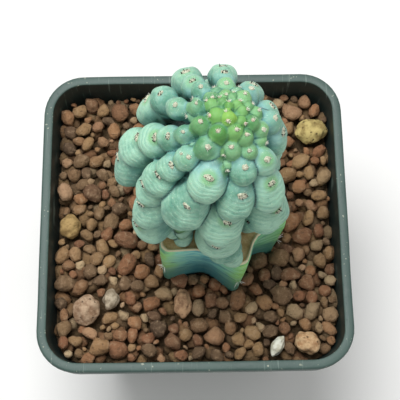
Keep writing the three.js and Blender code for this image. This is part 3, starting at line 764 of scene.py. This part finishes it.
def make_stock():
    values = {name: [] for name in ("edge", "rim", "cut", "drop", "sunny")}
    rings = []
    angles = []
    for i, (bearing, _) in enumerate(STOCK_TIPS):
        gap = (STOCK_TIPS[(i + 1) % len(STOCK_TIPS)][0] - bearing) % 360
        angles += [bearing + gap * step / STOCK_STEPS for step in range(STOCK_STEPS)]
    for height, scale, inset, rim, cut in STOCK_ROWS:
        ring = []
        for angle in angles:
            radius = star_radius(angle, height) * scale - inset
            point = from_graft(radius, angle, height)
            swell = 0.3 * noise.noise(point / 7) + 0.12 * noise.noise(point / 2.2)
            if -STOCK_RISE - 3 < height < -1:
                point = from_graft(radius + swell, angle, height)
            elif height >= -1:
                point = from_graft(radius + 0.5 * swell * (inset < 2), angle, height + 0.7 * swell)
            ring.append(point)
        rings.append(ring)
        values["edge"].append([rib_share(angle) for angle in angles])
        values["sunny"].append([math.cos(math.radians(angle + 15)) for angle in angles])
        values["rim"].append(rim)
        values["cut"].append(cut)
        # how far down the stock a row is, which sets the painted shade at the foot
        values["drop"].append(clamp(-height / STOCK_RISE))
    finish_mesh(to_mesh(loft(rings, values)), "cut_stock", stock_flesh(), ["rootstock"])


def add_spine(heap, root, direction, length, radius, sides=5):
    """A tapered spine that starts inside its areole"""
    points, faces = UNIT_SPINES[sides]
    sideways = direction.orthogonal().normalized()
    axes = axes_of(sideways, direction.cross(sideways), direction)
    placed = (points + (0, 0, 0.5)) * (radius, radius, length) @ axes + np.array(root[:])
    heap.add(placed, faces, along=points[:, 2] + 0.5)


def add_tuft(heap, seat, axes, long, wide, age, draw):
    """A small uneven pad of wool"""
    points, faces = UNIT_BALLS[2]
    shift = Vector((draw(), draw(), draw())) * 20
    lumps = np.array([1 + 0.35 * noise.noise(Vector(point) * 1.6 + shift) for point in points])
    placed = points * lumps[:, None] * (wide, long, 0.42) @ axes + np.array(seat[:])
    heap.add(placed, faces, age=age)


def make_stock_spines():
    """White spines low on each rib of the stock"""
    spines, pads = Heap("along"), Heap("age")
    draw = make_draw(STOCK_SPINE_SEED)
    for angle, _ in STOCK_TIPS:
        height = -STOCK_RISE + SPINE_HEIGHT + draw()
        root = from_graft(star_radius(angle) * STOCK_FOOT_SCALE - 0.1, angle, height)
        outward = from_graft(1, angle, 0) - GRAFT
        sideways = UP.cross(outward)
        add_tuft(pads, root, axes_of(sideways, UP, outward), 1.1, 0.9, 1.0, draw)
        for i in range(SPINES_PER_AREOLE):
            spread = math.radians((i - 2) * 38) + 0.3 * draw()
            direction = outward * 0.8 + sideways * math.sin(spread) + UP * (0.9 * math.cos(spread) - 0.3)
            add_spine(spines, root, direction.normalized(), 2.3 * (0.85 + 0.3 * draw()), 0.12)
        for i in range(7):
            direction = outward + sideways * (2 * draw() - 1) * 1.2 + UP * (2 * draw() - 1)
            add_spine(spines, root, direction.normalized(), 1.2 + 0.8 * draw(), 0.06, 3)
    horn = spine_horn("pale_spine", paint(236, 238, 226), paint(250, 250, 246))
    finish_mesh(spines.mesh(), "stock_spines", horn, ["rootstock"])
    finish_mesh(pads.mesh(), "stock_areoles", wool(), ["rootstock"])


# Scion
def dome_radius(height):
    """Radius of the flesh under the crown"""
    rise = clamp((height - SCION_HEIGHT + DOME_DEPTH) / DOME_DEPTH)
    return DOME_RADIUS * math.sqrt(1 - rise ** 2)


def core_radius(angle, height):
    """How far the flesh between the ribs reaches, from the ribs near a bearing"""
    total = weight = 0
    for rib in SCION_RIBS:
        low = rib[-2][0]
        share = math.exp(18 * (math.cos(math.radians(angle - low)) - 1))
        heights = [place[2] for place in rib[::-1]]
        reach = float(np.interp(height, heights, [place[1] for place in rib[::-1]]))
        total += share * min(reach, dome_radius(height) * 1.6)
        weight += share
    return total / weight * CORE_SHARE


def flesh_normal(bearing, distance, height):
    """Direction out of the flesh: up at the crown and sideways below the shoulder"""
    outward = from_graft(1, bearing, 0) - GRAFT
    rise = max(height - SCION_HEIGHT + DOME_DEPTH, 0) / DOME_DEPTH ** 2
    return (outward * (distance / DOME_RADIUS ** 2) + UP * rise).normalized()


def flesh_age(point):
    """0 at the growing point and about 1 at the base"""
    bearing, distance, height = GROWING_POINT
    return clamp(((point - from_graft(distance, bearing, height)).length - 1) / SCION_HEIGHT)


def tubercles():
    """Every tubercle as its centre, axes, half sizes, age and tone"""
    found = []
    draw = make_draw(TUBERCLE_SEED)
    for number, rib in enumerate(SCION_RIBS):
        centers = [from_graft(distance, bearing, height) for bearing, distance, height, _ in rib]
        for i, (bearing, distance, height, width) in enumerate(rib):
            before = centers[max(i - 1, 0)]
            after = centers[min(i + 1, len(rib) - 1)]
            down = (after - before).normalized()
            across = down.cross(flesh_normal(bearing, distance, height)).normalized()
            out = across.cross(down)
            step = (centers[min(i + 1, len(rib) - 1)] - centers[min(i, len(rib) - 2)]).length
            old = clamp((45 - height) / 14)
            tilt = math.radians(lerp(2, 20, old)) + 0.1 * (draw() - 0.5)
            long = lerp(width, max(0.62 * step + 0.3 * width, width), old)
            found.append({
                "center": centers[i],
                "down": down * math.cos(tilt) + out * math.sin(tilt),
                "out": out * math.cos(tilt) - down * math.sin(tilt),
                "across": across,
                "sizes": (width * lerp(0.96, 1.12, old), long, width * lerp(1.12, 0.94, old)),
                "width": width,
                "shell": old,
                "rib": number,
                "age": flesh_age(centers[i]),
                "tone": draw(),
            })
    for bearing, distance, height, width in CROWN_BUDS:
        out = flesh_normal(bearing, distance, height)
        across = UP.cross(out).normalized() if distance > 0.5 else RIGHT
        center = from_graft(distance, bearing, height)
        found.append({
            "center": center,
            "down": out.cross(across),
            "out": out,
            "across": across,
            "sizes": (0.94 * width, 0.94 * width, 1.2 * width),
            "width": width,
            "shell": 0,
            "rib": None,
            "age": flesh_age(center),
            "tone": draw(),
        })
    return found


def areole_spot(tubercle):
    """Where the wool pad of a tubercle sits, on its side towards the crown"""
    shift = tubercle["down"] * (-AREOLE_RISE * tubercle["width"])
    return tubercle["center"] + shift + tubercle["out"] * (0.85 * tubercle["width"])


def make_scion(found):
    """Core, tubercles and the keels between them, fused into one skin and cut off flat at the graft"""
    angles = [i * (360 // CORE_POINTS) for i in range(CORE_POINTS)]
    rings = []
    for height in CORE_HEIGHTS:
        rings.append([from_graft(core_radius(angle, height), angle, height) for angle in angles])
    heap = Heap()
    heap.add(*shape_of(loft(rings)))
    points, faces = UNIT_BALLS[4]
    for number, tubercle in enumerate(found):
        shift = Vector((number * 3.1, number * 1.7, 0))
        lumps = np.array([1 + 0.1 * noise.noise(Vector(point) * 1.5 + shift) for point in points])
        axes = axes_of(tubercle["across"], tubercle["down"], tubercle["out"])
        shell = tubercle["shell"]
        lip = points[:, 1:2] * shell
        cushion = (1 + 0.2 * shell) * (1 - 0.25 * shell * points[:, 2:] ** 2)
        stretch = np.hstack([1 + 0.26 * lip, np.ones_like(lip), cushion * (1 + 0.3 * lip)])
        egg = points * lumps[:, None] * stretch
        heap.add(egg * tubercle["sizes"] @ axes + np.array(tubercle["center"][:]), faces)
    for upper, lower in zip(found, found[1:]):
        if upper["rib"] is None or upper["rib"] != lower["rib"]:
            continue
        width = (upper["width"] + lower["width"]) / 2
        sink = lerp(0.5, 0.26, upper["shell"]) * width
        between = (upper["center"] + lower["center"]) / 2 - upper["out"] * sink
        reach = (upper["center"] - lower["center"]).length
        axes = axes_of(upper["across"], upper["down"], upper["out"])
        keel = points * (lerp(0.8, 0.96, upper["shell"]) * width, 0.82 * reach, 1.2 * width)
        heap.add(keel @ axes + np.array(between[:]), faces)
    mesh = modified(heap.mesh(), "REMESH", {"mode": "VOXEL", "voxel_size": VOXEL})
    bm = bmesh.new()
    bm.from_mesh(mesh)
    bmesh.ops.smooth_vert(bm, verts=bm.verts, factor=0.4, use_axis_x=True, use_axis_y=True, use_axis_z=True)
    cut = {"plane_co": from_graft(0, 0, 0.05), "plane_no": -UP, "clear_outer": True}
    bmesh.ops.bisect_plane(bm, geom=list(bm.verts) + list(bm.edges) + list(bm.faces), dist=1e-4, **cut)
    bmesh.ops.holes_fill(bm, edges=[edge for edge in bm.edges if edge.is_boundary], sides=0)
    for vert in bm.verts:
        distance, angle, height = to_graft(vert.co)
        if height < 2.2:
            inside = smooth_step(0, 1.2, star_radius(angle) - RIM_WIDTH - 0.9 - distance)
            vert.co -= UP * (0.95 * inside * (1 - smooth_step(0.1, 2.2, height)))
    mesh = to_mesh(bm)
    mark(mesh, **flesh_marks(points_of(mesh), found))
    return finish_mesh(mesh, "tubercled_scion", scion_flesh(), ["scion"])


def flesh_marks(points, found):
    """Which tubercle each point is on, how old that is, and where on it the point lies"""
    best = np.full(len(points), 9.0)
    second = np.full(len(points), 9.0)
    halo = np.full(len(points), 9.0)
    ribs = {}
    marks = {name: np.zeros(len(points)) for name in ("age", "tone", "ring", "lip", "side")}
    for tubercle in found:
        axes = axes_of(tubercle["across"], tubercle["down"], tubercle["out"])
        local = (points - np.array(tubercle["center"][:])) @ axes.T / np.array(tubercle["sizes"])
        measure = np.sqrt((local ** 2).sum(axis=1))
        rib = tubercle["rib"] if tubercle["rib"] is not None else tubercle["tone"]
        ribs[rib] = np.minimum(ribs.get(rib, 9.0), measure)
        closer = measure < best
        second = np.where(closer, best, np.minimum(second, measure))
        best = np.where(closer, measure, best)
        ring = tubercle["width"] * np.hypot(local[:, 1] + 1.1, 0.8 * local[:, 0])
        values = {
            "age": tubercle["age"],
            "tone": tubercle["tone"],
            "ring": ring,
            "lip": local[:, 1],
            # out coordinate on the tubercle, used only to paint shade on its flanks
            "side": local[:, 2],
        }
        for name, value in values.items():
            marks[name] = np.where(closer, value, marks[name])
        seat = np.array(areole_spot(tubercle)[:])
        halo = np.minimum(halo, np.linalg.norm(points - seat, axis=1))
    nearest, next_rib = np.partition(np.array(list(ribs.values())), 1, axis=0)[:2]
    crease = np.clip(1 - (next_rib - nearest) / 0.3, 0, 1) ** 1.5
    fold = 0.55 * np.clip(1 - (second - best) / 0.14, 0, 1) ** 1.5
    # mask of the creases between tubercles, where shade is painted
    marks["groove"] = np.maximum(np.maximum(crease, fold), np.clip((best - 1.1) / 0.3, 0, 1))
    marks["halo"] = halo
    return marks


def make_areoles(found, surface):
    """Wool pads seated on the flesh, with short dark spines, and longer tufts on the young ones"""
    pads, darks, hairs = Heap("age"), Heap("along"), Heap("along")
    draw = make_draw(AREOLE_SEED)
    for tubercle in found:
        if to_graft(tubercle["center"])[2] < LOWEST_AREOLE:
            continue
        seat = areole_spot(tubercle)
        out, across, width = tubercle["out"], tubercle["across"], tubercle["width"]
        age = clamp(tubercle["age"] / 0.4)
        hit, spot, normal, _ = surface.ray_cast((seat + out * 6) * 0.001, -out, distance=0.012)
        if not hit:
            continue
        spot = spot * 1000
        side = (across - normal * across.dot(normal)).normalized()
        lower = normal.cross(side)
        mature = tubercle["age"] > MATURE_AGE
        wide = min((0.33 if mature else 0.23) * width, 1.25) * (0.85 + 0.3 * draw())
        long = wide * (0.6 if mature else 0.95)
        add_tuft(pads, spot - normal * 0.08, axes_of(side, lower, normal), long, wide, tubercle["age"], draw)
        count = 5 + int(3 * draw()) if mature else 0
        for i in range(count):
            angle = 2 * math.pi * (i + 0.7 * draw()) / count
            reach = lerp(0.2, 0.9, draw())
            offset = side * (reach * wide * math.cos(angle)) + lower * (reach * long * math.sin(angle))
            direction = (normal + offset * 0.4).normalized()
            add_spine(darks, spot + offset, direction, lerp(0.45, 0.7, draw()), 0.23)
        for i in range(10 if mature else 14):
            angle = 2 * math.pi * draw()
            reach = wide * math.sqrt(draw())
            offset = side * (reach * math.cos(angle)) + lower * (0.8 * reach * math.sin(angle))
            direction = normal * (0.5 + draw()) + offset * 0.9 / wide + UP * 0.2
            length = (0.5 + 0.5 * draw()) * lerp(0.9, 0.6, age)
            add_spine(hairs, spot + offset, direction.normalized(), length, 0.06, 3)
    finish_mesh(pads.mesh(), "areole_wool", wool(), ["scion"])
    horn = spine_horn("dark_spine", paint(34, 26, 22), paint(20, 16, 14))
    finish_mesh(darks.mesh(), "areole_spines", horn, ["scion"])
    hair = spine_horn("wool_hair", paint(240, 234, 218), paint(252, 250, 244))
    finish_mesh(hairs.mesh(), "areole_hairs", hair, ["scion"])


# Grit
def stone_points(points, sizes, draw, flat_share):
    """A broken stone: a ball with a few flats and an uneven skin"""
    flats = [(np.array(Vector((draw() - 0.5, draw() - 0.5, draw() - 0.5)).normalized()), 0.58 + 0.3 * draw())
             for _ in range(STONE_FLATS)]
    shift = Vector((draw(), draw(), draw())) * 30
    reach = np.ones(len(points))
    for direction, depth in flats:
        facing = points @ direction
        reach = np.where(facing > depth, np.minimum(reach, depth / np.maximum(facing, depth)), reach)
    lumps = np.array([noise.noise(Vector(point) * 1.5 + shift) for point in points])
    reach = (1 + (reach - 1) * flat_share) * (1 + 0.22 * lumps)
    return points * reach[:, None] * sizes


def stone_is_clear(x, y, radius):
    """Whether a stone of this radius fits between the wall, the stock and the pale stones"""
    limit = body_half(SKIRT_BOTTOM) - WALL - 0.3
    corner = LIP_CORNER - SKIRT_STEP - WALL
    edge_x, edge_y = abs(x) - (limit - corner), abs(y) - (limit - corner)
    outside = math.hypot(max(edge_x, 0), max(edge_y, 0)) + min(max(edge_x, edge_y), 0) - corner
    away = Vector((x, y, 76)) - PLANT_FOOT
    distance = math.hypot(away.dot(RIGHT), away.dot(BACK))
    angle = math.degrees(math.atan2(away.dot(BACK), away.dot(RIGHT)))
    stock = star_radius(angle, -STOCK_RISE) * STOCK_FOOT_SCALE
    if outside > -0.8 * radius or distance < stock + 0.75 * radius:
        return False
    for stone in PALE_STONES:
        turn = math.radians(stone[6])
        dx, dy = x - stone[1], y - stone[2]
        along = dx * math.cos(turn) + dy * math.sin(turn)
        aside = -dx * math.sin(turn) + dy * math.cos(turn)
        if math.hypot(along / (stone[3] + 0.85 * radius), aside / (stone[4] + 0.85 * radius)) < 1:
            return False
    return True


def keep_inside(points):
    """Pushes what reaches into the pot's wall back to the wall's inner face"""
    height = np.minimum(points[:, 2:], SKIRT_BOTTOM)
    corner = lerp(BASE_CORNER, LIP_CORNER - SKIRT_STEP, height / SKIRT_BOTTOM) - WALL
    straight = body_half(height) - WALL - corner
    base = np.clip(points[:, :2], -straight, straight)
    away = points[:, :2] - base
    length = np.linalg.norm(away, axis=1, keepdims=True)
    share = np.minimum(1, (corner - 0.1) / np.maximum(length, 0.1))
    return np.hstack([base + away * share, points[:, 2:]])


def make_grit():
    """Layers of stones on a bed of fines: large ones on top, and smaller ones in the gaps between them"""
    heap = Heap("tone", "tint", "depth")
    inset = WALL + CLEARANCE
    floor = body_ring(FLOOR_TOP + CLEARANCE, inset + 1.6)
    block = loft([floor, body_ring(FLOOR_TOP + 2, inset), body_ring(FINES_LEVEL, inset)])
    # the fines under the stones get the full share of painted shade
    heap.add(*shape_of(block), tone=0.2, tint=0.2, depth=1.0)
    points, faces = UNIT_BALLS[2]
    draw = make_draw(GRIT_SEED)
    half = body_half(SKIRT_BOTTOM) - WALL
    top_stones = np.zeros((0, 3))
    for tries, low, high, level, close, depth in STONE_LAYERS:
        on_top = level > -1
        taken = top_stones if on_top else np.zeros((0, 3))
        for _ in range(tries):
            x, y = half * (2 * draw() - 1), half * (2 * draw() - 1)
            radius = lerp(low, high, draw() ** 1.6)
            apart = np.hypot(taken[:, 0] - x, taken[:, 1] - y) - close * (taken[:, 2] + radius)
            if (apart < 0).any() or not stone_is_clear(x, y, radius if on_top else 0.4 * radius):
                continue
            taken = np.vstack([taken, (x, y, radius)])
            long = radius * (1.04 + 0.22 * draw())
            wide = radius * (0.86 + 0.16 * draw())
            tall = min(radius * (0.72 + 0.2 * draw()), 3.2)
            height = GRIT_LEVEL + level + 0.9 * (draw() - 0.5) + (radius - 3) * 0.15
            spin = Matrix.Rotation(2 * math.pi * draw(), 3, "Z")
            tip = Matrix.Rotation(0.9 * (draw() - 0.5), 3, "X")
            turn = np.array(spin @ tip)
            shape = stone_points(points, (long, wide, tall), draw, 0.95) @ turn.T + (x, y, height)
            tone = draw() * 0.93 if draw() > 0.06 else 0.9 + 0.1 * draw()
            heap.add(keep_inside(shape), faces, tone=tone, tint=draw(), depth=depth)
        if on_top:
            top_stones = taken
    finish_mesh(heap.mesh(), "lava_stones", lava_grit(), ["grit_bed"])


def make_pale_stones():
    points, faces = UNIT_BALLS[5]
    for number, (name, x, y, long, wide, high, turn, light, dark) in enumerate(PALE_STONES):
        heap = Heap()
        spin = np.array(Matrix.Rotation(math.radians(turn), 3, "Z"))
        shape = stone_points(points, (long, wide, high), make_draw(PALE_STONE_SEED + number), 0.3)
        heap.add(shape @ spin.T + (x, y, GRIT_LEVEL + PALE_STONE_LIFT), faces)
        pitting = 1.0 if name in ("pitted_stone", "yellow_pumice", "pink_stone") else 0.4
        skin = pale_stone_skin(name + "_skin", light, dark, pitting)
        finish_mesh(heap.mesh(), name + "_fine", skin, [name])


def make_stage():
    """A pale floor, soft light from above and the camera"""
    bm = bmesh.new()
    bmesh.ops.create_grid(bm, x_segments=1, y_segments=1, size=3)
    mesh = to_mesh(bm)
    floor = add_object("floor", mesh)
    material, surface, _, _ = start_material("floor")
    end_material(surface, (0.9, 0.9, 0.89, 1), 0.9)
    mesh.materials.append(material)
    world = bpy.data.worlds.new("studio")
    bpy.context.scene.world = world
    world.use_nodes = True
    sky = world.node_tree.nodes["Background"]
    sky.inputs["Color"].default_value = (1, 1, 0.99, 1)
    sky.inputs["Strength"].default_value = WORLD_STRENGTH
    for name, place, size, power in LIGHTS:
        light = bpy.data.lights.new(name, "AREA")
        light.shape = "DISK"
        light.size = size
        light.energy = power
        lamp = add_object(name, light)
        lamp.location = place
        away = Vector(place) - Vector(LIGHT_AIM)
        lamp.rotation_euler = away.to_track_quat("Z", "Y").to_euler()
    camera_data = bpy.data.cameras.new("camera")
    camera_data.lens = CAMERA_LENS
    camera_data.sensor_width = CAMERA_SENSOR
    camera = add_object("camera", camera_data)
    forward = Vector(CAMERA_AIM).normalized()
    level_right = Vector((1, 0, 0))
    level_up = level_right.cross(forward)
    right = level_right * math.cos(CAMERA_ROLL) + level_up * math.sin(CAMERA_ROLL)
    up = level_up * math.cos(CAMERA_ROLL) - level_right * math.sin(CAMERA_ROLL)
    axes = Matrix((right, up, -forward)).transposed().to_4x4()
    camera.matrix_world = Matrix.Translation(CAMERA_PLACE) @ axes
    bpy.context.scene.camera = camera
    bpy.context.scene.view_settings.view_transform = "Standard"


make_stage()
make_pot()
make_grit()
make_pale_stones()
make_stock()
make_stock_spines()
flesh = tubercles()
scion = make_scion(flesh)
make_areoles(flesh, scion)
